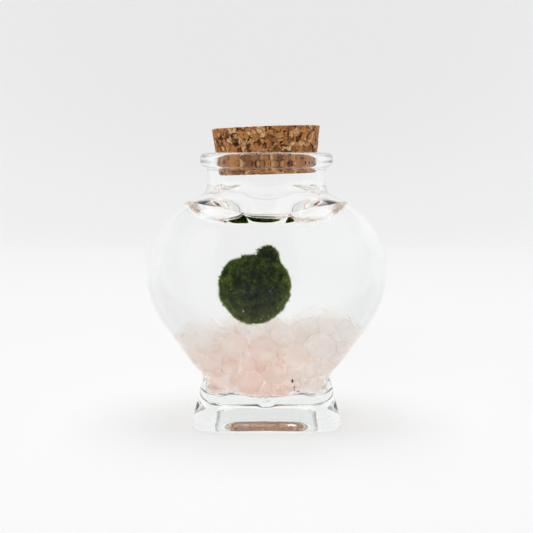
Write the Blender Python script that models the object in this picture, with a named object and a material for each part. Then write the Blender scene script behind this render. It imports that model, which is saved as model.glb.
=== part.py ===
"""A marimo moss ball in a heart-shaped glass jar, with rose quartz pebbles, water and a cork.

Metres, +Z up. The origin is the middle of the jar's foot, on the surface that it stands on.
The heart faces -Y and its point is at the origin, inside the foot.
"""

import math

import bmesh
import bpy
import numpy as np
from mathutils import Matrix, Vector

MM = 0.001

# The heart's outline, seen from the front: two round lobes, which cross in the cleft, two long
# side arcs that touch them, and a blunt point.
LOBE_RADIUS = 21.4 * MM
LOBE_X = 10.4 * MM
LOBE_Z = 42.0 * MM
SIDE_RADIUS = 60.0 * MM
SIDE_LEAN_AT_LOBE = math.radians(18.5)
POINT_Z = 8.4 * MM
POINT_RADIUS = 30.0 * MM

# How deep the heart is from front to back: deepest at DEEPEST_Z, less towards the point, where
# its front rounds in to the foot.
HALF_DEPTH = 18.6 * MM
DEEPEST_Z = 40.0 * MM
LOW_Z = 13.0 * MM
LOW_HALF_DEPTH = 15.4 * MM
POINT_HALF_DEPTH = 12.2 * MM
CLEFT_HEIGHT = 40.0 * MM
CLEFT_TOP_Z = 66.0 * MM
HOLLOW_CLEFT_HEIGHT = 26.0 * MM
LOBE_ROUNDNESS = 4.0
BODY_ROUNDNESS = 2.5

# The neck, its lip, and the foot.
NECK_RADIUS = 16.2 * MM
LIP_RADIUS = 18.0 * MM
LIP_TOP_Z = 74.1 * MM
LIP_HEIGHT = 4.0 * MM
LIP_EDGE = 1.5 * MM
FOOT_HALF_WIDTH = 20.6 * MM
FOOT_HALF_DEPTH = 15.2 * MM
FOOT_TAPER_X = 0.24
FOOT_TAPER_Y = 0.20
FOOT_CORNER = 5.0 * MM
FOOT_EDGE = 2.0 * MM
FOOT_FILLET = 1.6 * MM
NECK_FILLET = 3.0 * MM
BODY_BLEND = 3.0 * MM

# The glass's thickness in each part.
BODY_WALL = 2.05 * MM
NECK_WALL = 2.1 * MM
FOOT_WALL = 2.4 * MM
MOUTH_FLARE = 0.5 * MM

# The floor of the hollow: a dip under the heart's point, a ridge on each side of it and a
# turned-up rim.
FLOOR_Z = 8.4 * MM
FLOOR_RIDGE = 1.7 * MM
FLOOR_RIDGE_X = 7.7 * MM
FLOOR_RIDGE_WIDTH = 2.8 * MM
FLOOR_RIM_Z = 9.6 * MM
FLOOR_RIM_POWER = 12

# The stopper, pushed in a little crooked.
CORK_TOP_RADIUS = 14.6 * MM
CORK_BOTTOM_RADIUS = 13.0 * MM
CORK_HEIGHT = 12.4 * MM
CORK_CENTRE_Z = 74.6 * MM
CORK_TILT = math.radians(2.0)
CORK_EDGE = 0.35 * MM

# The moss ball, which is let down on the pebbles a little left of the middle.
BALL_RADIUS = 9.3 * MM
BALL_START = (-3.0 * MM, -0.3 * MM, 44.0 * MM)
BALL_STEPS = 600

# The pebbles: round tumbled chips that fill the foot and the heart's lower third.
PEBBLES = 43
PEBBLE_RADIUS = (3.2 * MM, 4.8 * MM)
PEBBLE_PRESS = 0.87
PEBBLE_GAP = 0.32 * MM
PEBBLE_STRETCH = (1.0, 0.94, 0.86)
PEBBLE_ROUNDNESS = 9
PEBBLE_SEED = 18

# How the pebbles are poured: where they start, how far they fall at each step, first fast and
# then slow, and how much of each push is taken at once.
POUR_X = (-11 * MM, 16 * MM)
POUR_Y = (-8 * MM, 8 * MM)
POUR_Z = (12 * MM, 52 * MM)
FALLS = ((1200, 0.10 * MM), (400, 0.02 * MM))
SLIDE = 0.045
SETTLING = 0.8
BALL_PRESS = 0.95

# The water.
WATER_Z = 54.5 * MM
WATER_BOTTOM_Z = 34.0 * MM
WATER_GAP = 0.32 * MM
WATER_POCKET = 1.2

# How finely the solids are faceted: sides round the jar, and the heights of its loops in mm.
SIDES = 40
CORK_SIDES = 36
OUTSIDE_LEVELS = (8, 9.2, 10.6, 12.4, 14.5, 19, 24, 29, 34, 39, 44, 48.5, 52.5, 56)
OUTSIDE_LEVELS += (59, 61.2, 62.6, 63.6, 65)
HOLLOW_LEVELS = (66, 62.4, 60.6, 58.4, 56.4, 54.5, 51.5, 48, 44, 39, 34, 29, 24, 19, 15.5, 13.0)
FLOOR_SHARES = (0.97, 0.90, 0.75, 0.52, 0.28)


# ---- The jar's form, as fields that are negative inside and near to a distance in metres ----


def smooth_union(a, b, radius):
    """The nearer of two forms, with a fillet of about this radius where they meet."""
    near = np.maximum(radius - np.abs(a - b), 0.0) / radius
    return np.minimum(a, b) - near * near * radius / 4


def lobe_form(x, y, z, side):
    """One of the heart's two top lobes: side is 1 on the right and -1 on the left."""
    across = np.hypot(x - side * LOBE_X, z - LOBE_Z) / LOBE_RADIUS
    power = LOBE_ROUNDNESS
    return ((across**power + np.abs(y / HALF_DEPTH) ** power) ** (1 / power) - 1) * HALF_DEPTH


def arc(centre_x, centre_z, radius, z):
    """The right-hand side of an arc at a height."""
    return centre_x + np.sqrt(np.maximum(radius**2 - (z - centre_z) ** 2, 0))


def heart_half_width(z):
    """Half the heart's width at a height: the point's arc, then the side's, then the lobe's."""
    reach = SIDE_RADIUS - LOBE_RADIUS
    side_x = LOBE_X - reach * math.cos(SIDE_LEAN_AT_LOBE)
    side_z = LOBE_Z + reach * math.sin(SIDE_LEAN_AT_LOBE)
    lobe_starts = LOBE_Z - LOBE_RADIUS * math.sin(SIDE_LEAN_AT_LOBE)
    long_side = arc(side_x, side_z, SIDE_RADIUS, z)
    side = np.where(z < lobe_starts, long_side, arc(LOBE_X, LOBE_Z, LOBE_RADIUS, z))
    point = arc(0, POINT_Z + POINT_RADIUS, POINT_RADIUS, z)
    near_point = z < POINT_Z + POINT_RADIUS / 2
    return np.maximum(np.where(near_point, np.minimum(side, point), side), 0.3 * MM)


def heart_half_depth(z, cleft_height):
    """Half the depth of the heart's middle, which falls away to the cleft and to the point."""
    low = HALF_DEPTH - (HALF_DEPTH - LOW_HALF_DEPTH) * ((z - DEEPEST_Z) / (DEEPEST_Z - LOW_Z)) ** 2
    fall = np.clip((LOW_Z - z) / (LOW_Z - POINT_Z), 0, 1)
    low = low - (LOW_HALF_DEPTH - POINT_HALF_DEPTH) * fall**2
    drop = np.clip((z - DEEPEST_Z) / cleft_height, 0, 0.999)
    return np.where(z < DEEPEST_Z, low, HALF_DEPTH * np.sqrt(1 - drop * drop))


def middle_form(x, y, z, cleft_height):
    """The heart between its lobes and its point."""
    wide, deep, power = heart_half_width(z), heart_half_depth(z, cleft_height), BODY_ROUNDNESS
    reach = (np.abs(x / wide) ** power + np.abs(y / deep) ** power) ** (1 / power)
    level = (reach - 1) * np.minimum(wide, deep)
    return np.maximum(level, np.maximum(POINT_Z - z, z - CLEFT_TOP_Z))


def foot_form(x, y, z):
    """The foot: a rounded block that narrows upwards."""
    corner_x = np.abs(x) - (FOOT_HALF_WIDTH - FOOT_TAPER_X * z - FOOT_CORNER)
    corner_y = np.abs(y) - (FOOT_HALF_DEPTH - FOOT_TAPER_Y * z - FOOT_CORNER)
    outside = np.hypot(np.maximum(corner_x, 0), np.maximum(corner_y, 0))
    return outside + np.minimum(np.maximum(corner_x, corner_y), 0) - FOOT_CORNER


def joined_form(x, y, z, cleft_height, body_wall, neck_wall, foot_wall):
    """The heart, foot and neck in one, each drawn in by its wall."""
    lobes = smooth_union(lobe_form(x, y, z, 1), lobe_form(x, y, z, -1), BODY_BLEND)
    body = smooth_union(lobes, middle_form(x, y, z, cleft_height), BODY_BLEND) + body_wall
    low = smooth_union(body, foot_form(x, y, z) + foot_wall, FOOT_FILLET)
    # The neck runs up from the heart's middle, which hides where it starts.
    neck = np.maximum(np.hypot(x, y) - NECK_RADIUS + neck_wall, LOBE_Z - z)
    return smooth_union(low, neck, NECK_FILLET)


def jar_form(x, y, z):
    """The jar's outside."""
    return joined_form(x, y, z, CLEFT_HEIGHT, 0, 0, 0)


def hollow_form(x, y, z):
    """The jar's hollow, whose neck runs further down between the lobes."""
    return joined_form(x, y, z, HOLLOW_CLEFT_HEIGHT, BODY_WALL, NECK_WALL, FOOT_WALL)


def floor_height(x, share):
    """The floor's height, at a share of the way out to its rim."""
    ridge = FLOOR_RIDGE * np.exp(-(((np.abs(x) - FLOOR_RIDGE_X) / FLOOR_RIDGE_WIDTH) ** 2))
    flat = FLOOR_Z + ridge
    return flat + (FLOOR_RIM_Z - flat) * share**FLOOR_RIM_POWER


def reach_of(form, angle, z, offset=0.0):
    """How far the form reaches from the jar's axis at these angles and heights, by halving."""
    near, far = np.full(np.shape(angle + z), 0.5 * MM), np.full(np.shape(angle + z), 45 * MM)
    for _ in range(36):
        middle = (near + far) / 2
        inside = form(middle * np.cos(angle), middle * np.sin(angle), z) < offset
        near, far = np.where(inside, middle, near), np.where(inside, far, middle)
    return (near + far) / 2


# ---- Making meshes ----


def material(name, colour, roughness, metallic=0.0):
    made = bpy.data.materials.new(name)
    made.use_nodes = True
    shader = made.node_tree.nodes["Principled BSDF"]
    shader.inputs["Base Color"].default_value = (*colour, 1)
    shader.inputs["Roughness"].default_value = roughness
    shader.inputs["Metallic"].default_value = metallic
    return made


def add_object(name, bm, finish, location=(0, 0, 0), rotation=(0, 0, 0)):
    bmesh.ops.recalc_face_normals(bm, faces=bm.faces)
    mesh = bpy.data.meshes.new(name)
    bm.to_mesh(mesh)
    bm.free()
    mesh.shade_smooth()
    mesh.set_sharp_from_angle(angle=math.radians(50))
    mesh.materials.append(finish)
    made = bpy.data.objects.new(name, mesh)
    bpy.context.scene.collection.objects.link(made)
    made.location = location
    made.rotation_euler = rotation
    return made


def ring_angles():
    """Angles round the axis, closer together at the narrow ends of the heart."""
    turn = np.arange(SIDES) * 2 * math.pi / SIDES
    return np.arctan2(HALF_DEPTH * np.sin(turn), (LOBE_X + LOBE_RADIUS) * np.cos(turn))


def ring(form, z, offset=0.0, shrink=0.0):
    """A level loop of points round a form. shrink draws the loop in towards the axis."""
    angle = ring_angles()
    reach = reach_of(form, angle, np.full(SIDES, z), offset) - shrink
    return [Vector((r * math.cos(a), r * math.sin(a), z)) for r, a in zip(reach, angle)]


def round_ring(radius, z):
    return [Vector((radius * math.cos(a), radius * math.sin(a), z)) for a in ring_angles()]


def loft(rings):
    """One closed skin through loops of points, with both ends filled."""
    bm = bmesh.new()
    layers = [[bm.verts.new(point) for point in points] for points in rings]
    for low, high in zip(layers, layers[1:]):
        for i in range(len(low)):
            j = (i + 1) % len(low)
            bm.faces.new((low[i], low[j], high[j], high[i]))
    for end, points in ((layers[0], rings[0]), (layers[-1], rings[-1])):
        centre = bm.verts.new(sum(points, Vector()) / len(points))
        for i in range(len(end)):
            bm.faces.new((end[i], end[(i + 1) % len(end)], centre))
    return bm


def quarter_turns(count):
    """Angles from 0 to 90 degrees."""
    return [math.pi / 2 * i / count for i in range(count + 1)]


# ---- The jar ----


def outside_rings():
    """From the foot's flat underside up to the lip."""
    rings = [ring(jar_form, 0.0, shrink=FOOT_EDGE)]
    for turn in quarter_turns(3)[1:]:
        z = FOOT_EDGE * (1 - math.cos(turn))
        rings.append(ring(jar_form, z, shrink=FOOT_EDGE * (1 - math.sin(turn))))
    rings += [ring(jar_form, level * MM) for level in OUTSIDE_LEVELS]
    lip_bottom = LIP_TOP_Z - LIP_HEIGHT
    rings.append(round_ring(NECK_RADIUS, lip_bottom))
    for turn in quarter_turns(2):
        rings.append(
            round_ring(
                LIP_RADIUS - LIP_EDGE * (1 - math.sin(turn)),
                lip_bottom + LIP_EDGE * (1 - math.cos(turn)),
            )
        )
    for turn in quarter_turns(2):
        rings.append(
            round_ring(
                LIP_RADIUS - LIP_EDGE * (1 - math.cos(turn)),
                LIP_TOP_Z - LIP_EDGE * (1 - math.sin(turn)),
            )
        )
    return rings


def inside_rings():
    """From the mouth down the bore and the heart's hollow to the floor."""
    bore = NECK_RADIUS - NECK_WALL
    rings = [
        round_ring(bore + MOUTH_FLARE, LIP_TOP_Z),
        round_ring(bore + MOUTH_FLARE / 4, LIP_TOP_Z - MOUTH_FLARE),
    ]
    rings += [ring(hollow_form, level * MM) for level in HOLLOW_LEVELS]
    rim = ring(hollow_form, FLOOR_RIM_Z)
    rings.append(rim)
    for share in FLOOR_SHARES:
        inner = [point * share for point in rim]
        rings.append([Vector((p.x, p.y, floor_height(p.x, share))) for p in inner])
    return rings


def make_jar():
    glass = material("glass", (0.93, 0.96, 0.95), 0.02)
    return add_object("jar", loft(outside_rings() + inside_rings()), glass)


# ---- The stopper ----


def make_cork():
    """A tapered plug, turned from a half profile, leaning a little in the mouth."""
    half = CORK_HEIGHT / 2
    profile = (
        (0.0, -half),
        (CORK_BOTTOM_RADIUS - CORK_EDGE, -half),
        (CORK_BOTTOM_RADIUS, -half + CORK_EDGE),
        (CORK_TOP_RADIUS, half - CORK_EDGE),
        (CORK_TOP_RADIUS - CORK_EDGE, half),
        (0.0, half),
    )
    bm = bmesh.new()
    points = [bm.verts.new((radius, 0, z)) for radius, z in profile]
    edges = [bm.edges.new(pair) for pair in zip(points, points[1:])]
    bmesh.ops.spin(
        bm,
        geom=points + edges,
        axis=(0, 0, 1),
        cent=(0, 0, 0),
        angle=2 * math.pi,
        steps=CORK_SIDES,
        use_merge=True,
    )
    bmesh.ops.remove_doubles(bm, verts=bm.verts, dist=0.01 * MM)
    finish = material("cork", (0.55, 0.33, 0.17), 0.85)
    return add_object("cork", bm, finish, (0, 0, CORK_CENTRE_Z), (0, -CORK_TILT, 0))


# ---- The moss ball ----


def ball_reach(direction):
    """The ball's radius in a direction: a tuft at the upper right, worn dents at the upper left."""
    tuft = max(direction.dot(Vector((0.34, -0.20, 0.92)).normalized()), 0)
    dent = max(direction.dot(Vector((-0.28, -0.25, 0.93)).normalized()), 0)
    shoulder = max(direction.dot(Vector((-0.72, -0.10, 0.68)).normalized()), 0)
    swell = 0.16 * tuft**22 - 0.16 * dent**14 + 0.03 * shoulder**20
    lumps = 0.012 * math.sin(7 * direction.x + 2) * math.sin(8 * direction.y) * math.sin(9 * direction.z)
    return BALL_RADIUS * (1 + swell + lumps)


def make_ball(centre):
    bm = bmesh.new()
    bmesh.ops.create_icosphere(bm, subdivisions=4, radius=1)
    for vertex in bm.verts:
        direction = vertex.co.normalized()
        vertex.co = direction * ball_reach(direction)
    finish = material("moss", (0.07, 0.16, 0.02), 0.95)
    return add_object("moss_ball", bm, finish, centre)


# ---- The pebbles ----


def slope_of(form, points):
    """Which way a form grows fastest at each point, as unit vectors."""
    step = 0.05 * MM
    slope = np.empty_like(points)
    for axis in range(3):
        ahead, behind = points.copy(), points.copy()
        ahead[:, axis] += step
        behind[:, axis] -= step
        slope[:, axis] = form(*ahead.T) - form(*behind.T)
    return slope / np.maximum(np.linalg.norm(slope, axis=1, keepdims=True), 1e-12)


def resting_height(centres, radii):
    """How high each pebble's centre has to be to clear the floor under it and beside it."""
    wide = FOOT_HALF_WIDTH - FOOT_TAPER_X * FLOOR_RIM_Z - FOOT_WALL
    deep = FOOT_HALF_DEPTH - FOOT_TAPER_Y * FLOOR_RIM_Z - FOOT_WALL
    low = np.zeros(len(radii))
    for aside, ahead in ((0, 0), (0.7, 0), (-0.7, 0), (0, 0.7), (0, -0.7)):
        x, y = centres[:, 0] + aside * radii, centres[:, 1] + ahead * radii
        share = ((x / wide) ** 4 + (y / deep) ** 4) ** 0.25
        bulge = radii * math.sqrt(1 - aside**2 - ahead**2)
        low = np.maximum(low, floor_height(x, np.minimum(share, 1)) + bulge)
    return low


def packed_pebbles():
    """(centres, radii) of pebbles that have been poured in and have come to rest."""
    random = np.random.default_rng(PEBBLE_SEED)
    radii = random.uniform(*PEBBLE_RADIUS, PEBBLES)
    centres = np.column_stack(
        [
            random.uniform(*POUR_X, PEBBLES),
            random.uniform(*POUR_Y, PEBBLES),
            np.linspace(*POUR_Z, PEBBLES),
        ]
    )
    upper = np.triu(np.ones((PEBBLES, PEBBLES), bool), 1)
    for fall in (fall for steps, fall in FALLS for _ in range(steps)):
        centres[:, 2] -= fall
        centres[:, 0] += SLIDE * fall
        for _ in range(3):
            apart = centres[:, None] - centres[None]
            distance = np.linalg.norm(apart, axis=2) + 1e-9
            wanted = PEBBLE_PRESS * (radii[:, None] + radii[None])
            push = np.where(upper & (distance < wanted), (wanted - distance) / 2 / distance, 0)
            push = push + push.T
            centres += SETTLING * (apart * push[:, :, None]).sum(axis=1)
            depth = np.maximum(hollow_form(*centres.T) + radii + PEBBLE_GAP, 0)
            centres -= slope_of(hollow_form, centres) * depth[:, None]
            low = resting_height(centres, radii) + PEBBLE_GAP
            centres[:, 2] = np.maximum(centres[:, 2], low)
    return centres, radii


def dropped_ball(centres, radii):
    """Where the moss ball comes to rest when it is let down on the pebbles."""
    ball = np.array(BALL_START)
    for _ in range(BALL_STEPS):
        ball[2] -= FALLS[-1][1]
        for _ in range(3):
            away = ball - centres
            gap = np.linalg.norm(away, axis=1)
            short = np.maximum(BALL_RADIUS + PEBBLE_GAP + BALL_PRESS * radii - gap, 0)
            ball += SETTLING * (away * (short / gap)[:, None]).sum(axis=0)
            depth = max(hollow_form(*ball) + BALL_RADIUS + PEBBLE_GAP, 0)
            ball -= slope_of(hollow_form, ball[None])[0] * depth
    return Vector(ball)


def pebble_mesh(centre, radius, others, turn):
    """A pebble: a slightly flattened ball, pressed flat towards each neighbour and never past it."""
    bm = bmesh.new()
    bmesh.ops.create_icosphere(bm, subdivisions=2, radius=1)
    stretch = Matrix.Diagonal(PEBBLE_STRETCH) @ turn
    for vertex in bm.verts:
        direction = vertex.co.normalized()
        limits = [radius / (stretch.inverted() @ direction).length]
        for other, other_radius in others:
            apart = other - centre
            towards = direction.dot(apart.normalized())
            share = apart.length * radius / (radius + other_radius) - PEBBLE_GAP / 2
            if towards > 0.2:
                limits.append(share / towards)
        nearest = sum(limit**-PEBBLE_ROUNDNESS for limit in limits) ** (-1 / PEBBLE_ROUNDNESS)
        vertex.co = direction * nearest
    return bm


def make_pebbles(centres, radii, ball):
    random = np.random.default_rng(PEBBLE_SEED)
    finish = material("rose_quartz", (0.86, 0.66, 0.62), 0.35)
    order = np.argsort(centres[:, 2])
    for number, index in enumerate(order, start=1):
        centre = Vector(centres[index])
        gaps = np.linalg.norm(centres - centres[index], axis=1) - radii - radii[index]
        near = [k for k in order if k != index and gaps[k] < 1 * MM]
        others = [(Vector(centres[k]), radii[k]) for k in near]
        others.append((ball, BALL_RADIUS))
        turn = Matrix.Rotation(random.uniform(0, math.pi), 3, Vector(random.normal(size=3)))
        bm = pebble_mesh(centre, radii[index], others, turn)
        add_object(f"quartz_{number:02d}", bm, finish, centre)


# ---- The water ----


def make_water(ball):
    """The clear water over the pebbles, up to the neck, with a pocket that the ball stands in."""
    levels = [level * MM for level in HOLLOW_LEVELS if WATER_BOTTOM_Z <= level * MM <= WATER_Z]
    rings = [ring(hollow_form, z, offset=-WATER_GAP) for z in levels]
    finish = material("water", (0.85, 0.92, 0.92), 0.0)
    water = add_object("water", loft(rings), finish)
    bm = bmesh.new()
    bmesh.ops.create_uvsphere(bm, u_segments=16, v_segments=10, radius=BALL_RADIUS * WATER_POCKET)
    cutter = add_object("water_pocket", bm, finish, ball)
    cutter.hide_render = True
    cutter.display_type = "WIRE"
    cut = water.modifiers.new("pocket", "BOOLEAN")
    cut.operation = "DIFFERENCE"
    cut.object = cutter
    return water


def clear_scene():
    for old in list(bpy.data.objects):
        bpy.data.objects.remove(old)


def main():
    clear_scene()
    make_jar()
    make_cork()
    centres, radii = packed_pebbles()
    ball = dropped_ball(centres, radii)
    make_pebbles(centres, radii, ball)
    make_ball(ball)
    make_water(ball)


if __name__ == "__main__":
    main()
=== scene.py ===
"""A marimo moss ball in a heart-shaped jar of water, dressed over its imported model.

Metres, +Z up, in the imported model's frame: the origin is under the middle of the jar's foot, and
the heart faces -Y.
"""

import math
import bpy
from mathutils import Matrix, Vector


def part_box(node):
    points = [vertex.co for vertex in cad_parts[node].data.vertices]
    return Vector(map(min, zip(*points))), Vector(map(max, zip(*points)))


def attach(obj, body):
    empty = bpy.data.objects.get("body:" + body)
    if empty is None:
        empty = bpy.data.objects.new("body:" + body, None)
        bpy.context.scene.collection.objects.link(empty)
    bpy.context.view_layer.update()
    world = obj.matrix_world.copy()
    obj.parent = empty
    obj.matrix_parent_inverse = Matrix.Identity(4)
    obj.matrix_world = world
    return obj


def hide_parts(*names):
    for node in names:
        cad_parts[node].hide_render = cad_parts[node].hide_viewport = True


bl_info = {
    "name": "Moss Ball Jar",
    "version": (1, 0, 0),
    "blender": (4, 5, 0),
    "location": "View3D > Sidebar > Moss Jar",
    "description": "Builds a moss ball on rose quartz pebbles in a heart-shaped jar of water",
    "category": "Add Mesh",
}

import bmesh
import bpy
import numpy as np
from bpy.props import FloatProperty, FloatVectorProperty, IntProperty, PointerProperty
from mathutils import Matrix, Vector, noise

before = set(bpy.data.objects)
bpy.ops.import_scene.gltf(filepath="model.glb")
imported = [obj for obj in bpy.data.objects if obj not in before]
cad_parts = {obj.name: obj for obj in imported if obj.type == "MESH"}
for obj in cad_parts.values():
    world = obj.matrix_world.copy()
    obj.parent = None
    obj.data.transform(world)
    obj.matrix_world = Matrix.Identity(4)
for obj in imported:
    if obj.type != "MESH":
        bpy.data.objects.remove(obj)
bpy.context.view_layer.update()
JAR_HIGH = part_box("jar")[1]
BALL_LOW, BALL_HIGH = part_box("moss_ball")
PEBBLE_NODES = sorted(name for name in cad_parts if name.startswith("quartz_"))


# ---- Settings ----


def length(name, description, default):
    return FloatProperty(name=name, description=description, default=default, unit="LENGTH", precision=5)


def number(name, description, default):
    return FloatProperty(name=name, description=description, default=default)


def angle(name, description, degrees):
    return FloatProperty(name=name, description=description, default=math.radians(degrees), unit="ROTATION")


def count(name, description, default):
    return IntProperty(name=name, description=description, default=default, min=1)


def colour(name, description, default):
    return FloatVectorProperty(
        name=name, description=description, default=default, subtype="COLOR", min=0, max=1
    )


class HeartSizes(bpy.types.PropertyGroup):
    """The heart-shaped body of the jar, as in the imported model."""

    lobe_radius: length("Lobe Radius", "Radius of each round top lobe", 0.0214)
    lobe_x: length("Lobe Offset", "How far each lobe's centre is from the middle", 0.0104)
    lobe_z: length("Lobe Height", "Height of the lobes' centres", 0.042)
    lobe_roundness: number("Lobe Roundness", "Power of the lobes' rounding to the front", 4.0)
    side_radius: length("Side Radius", "Radius of the long side arcs", 0.060)
    side_lean: angle("Side Lean", "Lean of the sides under the lobes", 18.5)
    point_z: length("Point Height", "Height of the heart's blunt point", 0.0084)
    point_radius: length("Point Radius", "Radius of the blunt point", 0.030)
    half_depth: length("Half Depth", "Half the depth from front to back", 0.0186)
    deepest_z: length("Deepest Height", "Height where the heart is deepest", 0.040)
    low_z: length("Low Height", "Height where the front starts to round in", 0.013)
    low_half_depth: length("Low Half Depth", "Half the depth at that height", 0.0154)
    point_half_depth: length("Point Half Depth", "Half the depth at the point", 0.0122)
    cleft_height: length("Cleft Rise", "How high the front's curve reaches", 0.040)
    cleft_top_z: length("Cleft Top", "Top of the heart's middle, in the neck", 0.066)
    hollow_cleft_height: length("Hollow Cleft Rise", "The same curve in the hollow", 0.026)
    roundness: number("Roundness", "Power of the body's level sections", 2.5)
    blend: length("Blend", "Fillet between the lobes and the middle", 0.003)


class JarSizes(bpy.types.PropertyGroup):
    """The neck, lip, foot and walls of the jar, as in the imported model."""

    neck_radius: length("Neck Radius", "Outside radius of the neck", 0.0162)
    lip_radius: length("Lip Radius", "Outside radius of the rolled lip", 0.018)
    lip_top: length("Lip Top", "Height of the lip's top", JAR_HIGH.z)
    lip_height: length("Lip Height", "Height of the lip itself", 0.004)
    lip_edge: length("Lip Edge", "Rounding of the lip's edges", 0.0015)
    mouth_flare: length("Mouth Flare", "How far the mouth opens over the bore", 0.0005)
    foot_half_width: length("Foot Half Width", "Half the foot's width at the bottom", 0.0206)
    foot_half_depth: length("Foot Half Depth", "Half the foot's depth at the bottom", 0.0152)
    foot_taper_x: number("Foot Side Taper", "How fast the foot's sides draw in", 0.24)
    foot_taper_y: number("Foot Front Taper", "How fast the foot's front draws in", 0.20)
    foot_corner: length("Foot Corner", "Radius of the foot's upright corners", 0.005)
    foot_edge: length("Foot Edge", "Rounding of the foot's lower edge", 0.002)
    fillet: length("Foot Fillet", "Fillet where the foot meets the heart", 0.0016)
    neck_fillet: length("Neck Fillet", "Fillet where the neck meets the heart", 0.0030)
    body_wall: length("Body Wall", "Glass thickness of the heart", 0.00205)
    neck_wall: length("Neck Wall", "Glass thickness of the neck", 0.0021)
    foot_wall: length("Foot Wall", "Glass thickness of the foot", 0.0024)
    floor_z: length("Floor Height", "Height of the hollow's floor at its middle", 0.0084)
    floor_rim: length("Floor Rim", "Height where the floor curves up into the wall", 0.0096)
    floor_ridge: length("Floor Ridge", "Height of the two ridges beside the heart's point", 0.0017)
    floor_ridge_x: length("Ridge Offset", "How far each ridge is from the middle", 0.0077)
    punt: length("Punt", "Height of the sunk panel in the underside", 0.0011)
    turns: count("Turns", "Points round the jar", 196)


class WaterSettings(bpy.types.PropertyGroup):
    """The water and how it climbs the glass."""

    level: length("Level", "Height of the flat water", 0.0545)
    capillary: length("Capillary Length", "Scale of the curved edge", 0.0027)
    contact: angle("Contact Angle", "Angle between water and glass", 22)
    sink: length("Overlap", "How far the water reaches into the glass", 0.00005)
    cusp: length("Cusp", "How far the water climbs in the creases under the neck", 0.0013)
    cusp_x: length("Cusp Offset", "How far each crease is from the middle", 0.0064)
    cusp_width: length("Cusp Width", "Half the width of each climb", 0.0014)
    bay: length("Bay", "How much higher the edge stands between the creases", 0.0004)


class CorkSettings(bpy.types.PropertyGroup):
    """The agglomerated cork stopper."""

    top_radius: length("Top Radius", "Radius of the top", 0.0146)
    bottom_radius: length("Bottom Radius", "Radius of the bottom", 0.0130)
    height: length("Height", "Height of the stopper", 0.0124)
    centre_z: length("Centre Height", "Height of its middle", 0.0746)
    tilt: angle("Tilt", "Lean in the mouth", 2.0)
    granule: length("Granule", "Usual size of a granule", 0.00125)
    pit_depth: length("Pit Depth", "Depth of the gaps between granules", 0.00018)
    pale: colour("Pale Granules", "Colour of the few palest granules", (0.95, 0.64, 0.34))
    light: colour("Light Granules", "Colour of most granules", (0.78, 0.355, 0.122))
    dark: colour("Dark Granules", "Colour of the darkest granules", (0.20, 0.062, 0.018))
    # Also the colour of the painted shade in the gaps between granules.
    bark_and_gap_shade: colour("Bark and Gap Shade", "Colour of the bark flecks and gaps", (0.028, 0.008, 0.003))


class MossSettings(bpy.types.PropertyGroup):
    """The moss ball."""

    radius: length("Radius", "Radius of the round lower part", 0.0093)
    fuzz: count("Fuzz", "How many short filaments stand on it", 17500)
    fuzz_length: length("Fuzz Length", "Usual length of a short filament", 0.00062)
    fuzz_width: length("Fuzz Width", "Width of a short filament's root", 0.00010)
    strands: count("Strands", "How many longer strands stand on it", 7500)
    strand_length: length("Strand Length", "Usual length of a strand", 0.00085)
    strand_width: length("Strand Width", "Width of a strand's root", 0.00013)
    # shade is painted shade deep between the tufts; tip is painted light on the tips of lit tufts.
    shade: colour("Shade", "Colour deep between the filaments", (0.002, 0.005, 0.001))
    green: colour("Green", "Colour of the filaments", (0.021, 0.070, 0.003))
    tip: colour("Tips", "Colour of the filaments' tips", (0.50, 0.78, 0.05))
    low_grey: colour("Low Grey", "Colour of the grey film low on the ball", (0.056, 0.060, 0.041))


class PebbleSettings(bpy.types.PropertyGroup):
    """The rose quartz pebbles."""

    lump: number("Lumps", "How uneven tumbling left the stones, as a share of their size", 0.11)
    gap: length("Gap", "Room between neighbours", 0.00012)
    chips: count("Chips", "How many small chips fill the gaps at most", 260)
    smallest_chip: length("Smallest Chip", "Radius of the smallest chip", 0.0009)
    largest_chip: length("Largest Chip", "Radius of the largest chip", 0.0026)
    lattice: length("Chip Lattice", "Step between the places tried for a chip", 0.0006)
    # pink_low and pale_top place painted light, which makes the stones paler upwards.
    pink_low: length("Pink Height", "Height up to which the stones are pinkest", 0.014)
    pale_top: length("Pale Height", "Height from which the stones are palest", 0.030)
    rose: colour("Rose", "Colour of the pinkest stones", (0.985, 0.890, 0.850))
    milk: colour("Milk", "Colour of the palest stones", (0.995, 0.976, 0.962))


class StageSettings(bpy.types.PropertyGroup):
    """The studio: a white dish, a soft sky and the camera."""

    dish_radius: length("Dish Radius", "Where the floor starts to curve up", 0.42)
    dish_curve: length("Dish Curve", "Radius of that curve", 0.22)
    dish_rim: length("Dish Rim", "Height of the dish's rim", 0.46)
    camera_distance: length("Camera Distance", "Camera from the jar's axis", 0.235)
    camera_height: length("Camera Height", "Camera over the floor", 0.0741)
    camera_pitch: angle("Camera Pitch", "How far it looks down", 7.57)
    lens: number("Lens", "Focal length in millimetres", 57.95)


GROUPS = {
    "heart": HeartSizes,
    "jar": JarSizes,
    "water": WaterSettings,
    "cork": CorkSettings,
    "moss": MossSettings,
    "pebbles": PebbleSettings,
    "stage": StageSettings,
}


def settings(name):
    return getattr(bpy.context.scene, "moss_jar_" + name)


# ---- The jar's form, as fields that are negative inside and near to a distance in metres ----

RIDGE_WIDTH = 0.0028  # of the two ridges in the hollow's floor
RIM_POWER = 12  # how late the floor turns up into the wall
LEAST_HALF_WIDTH = 0.0003  # of the heart, past its point
LEAST_REACH, MOST_REACH, HALVINGS = 0.0005, 0.045, 24  # of the search for a wall
STEP = 0.0001  # between the heights at which a wall is followed


def smooth_union(a, b, radius):
    """The nearer of two forms, with a fillet of about this radius where they meet."""
    near = np.maximum(radius - np.abs(a - b), 0.0) / radius
    return np.minimum(a, b) - near * near * radius / 4


def arc(centre_x, centre_z, radius, z):
    """The right-hand side of an arc at a height."""
    return centre_x + np.sqrt(np.maximum(radius**2 - (z - centre_z) ** 2, 0))


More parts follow.
